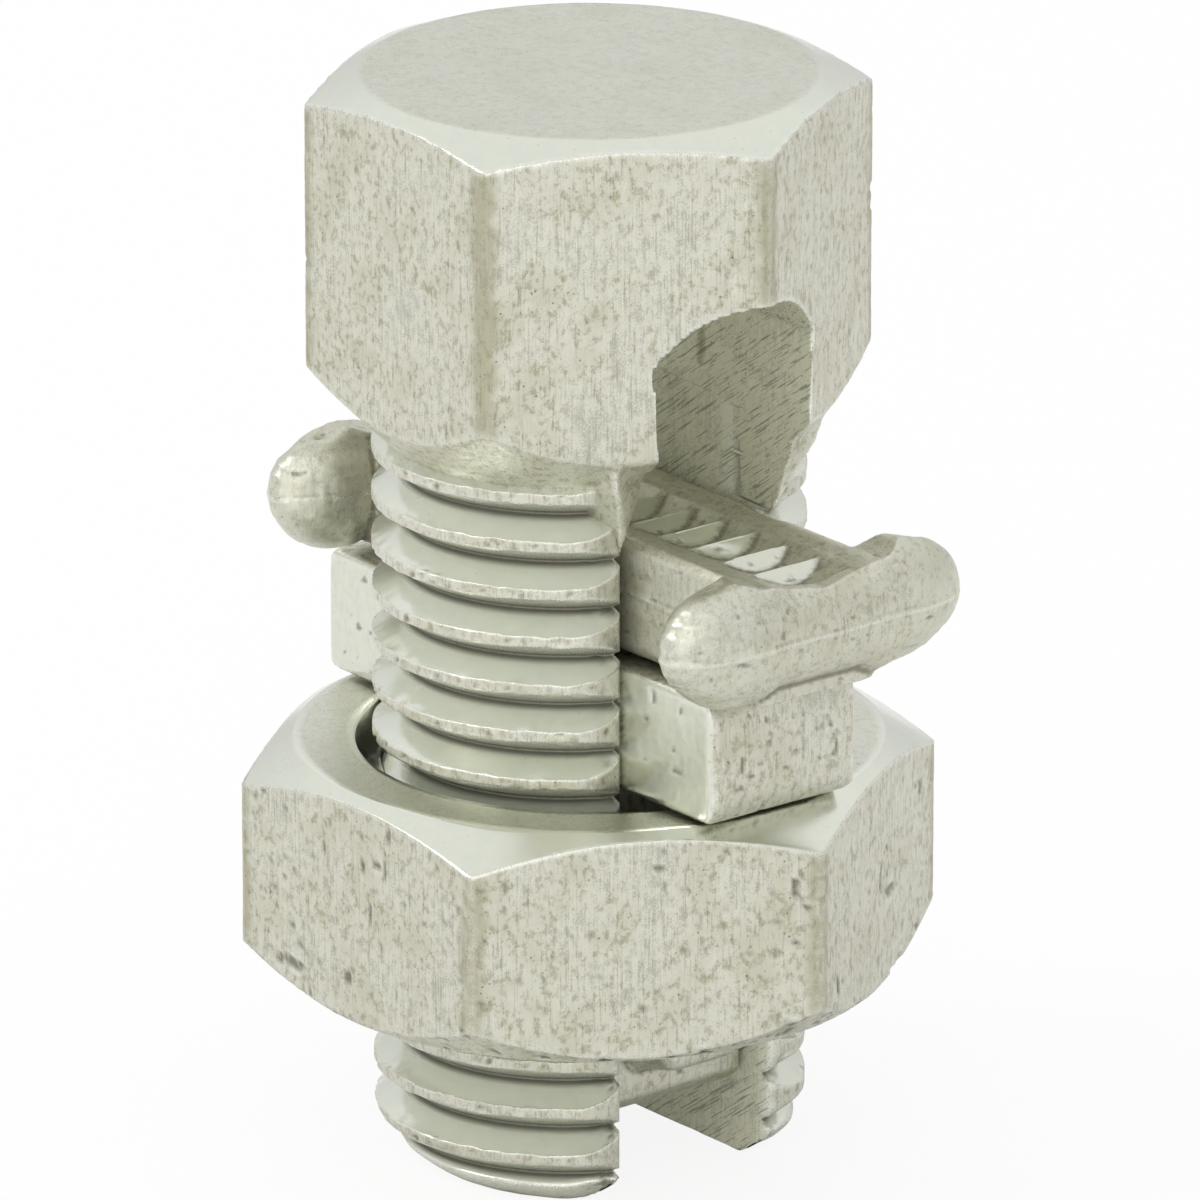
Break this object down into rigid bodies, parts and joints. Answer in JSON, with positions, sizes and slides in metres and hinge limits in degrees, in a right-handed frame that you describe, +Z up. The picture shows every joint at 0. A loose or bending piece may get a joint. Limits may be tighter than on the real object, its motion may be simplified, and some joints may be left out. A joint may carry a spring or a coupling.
{
  "type": "split bolt connector",
  "caption": "Split bolt cable connector: slotted threaded bolt with a hex head, hex nut, pressure bar in the slot and a loose toothed spacer bar between two cables.",
  "frame": {"origin": "on the bolt's axis, level with the tips of its two legs", "axes": "+Z up the bolt to its head, X along the slot and the cables, Y across the slot from leg to leg"},
  "size_m": [0.0382, 0.0322, 0.0577],
  "materials": {
    "tinned_bolt": "tin plating on copper alloy, satin, glossy on the thread flanks",
    "tinned_nut": "tin plating on copper alloy, satin flats and glossy chamfers",
    "tinned_bar": "tin plating on copper alloy, satin",
    "tinned_spacer": "tin plating on a forged copper alloy bar, satin"
  },
  "bodies": {
    "bolt": {"split_bolt": "tinned_bolt"},
    "bar": {"pressure_bar": "tinned_bar"},
    "nut": {"hex_nut": "tinned_nut"},
    "spacer": {"spacer_bar": "tinned_spacer"}
  },
  "joints": [
    {"name": "bar_travel", "type": "slide", "parent": "bolt", "child": "bar", "axis": [0, 0, 1], "range_m": [-0.0037, 0.0078]},
    {"name": "nut_turn", "type": "hinge", "parent": "bar", "child": "nut", "pos_m": [0, 0, 0.01615], "axis": [0, 0, 1], "range_deg": [-504, 1080]},
    {"name": "spacer_lift", "type": "slide", "parent": "bar", "child": "spacer", "axis": [0, 0, 1], "range_m": [0, 0.003]}
  ],
  "couplings": [
    {"joint": "bar_travel", "follows": "nut_turn", "m_per_rad": 0.00040425}
  ]
}
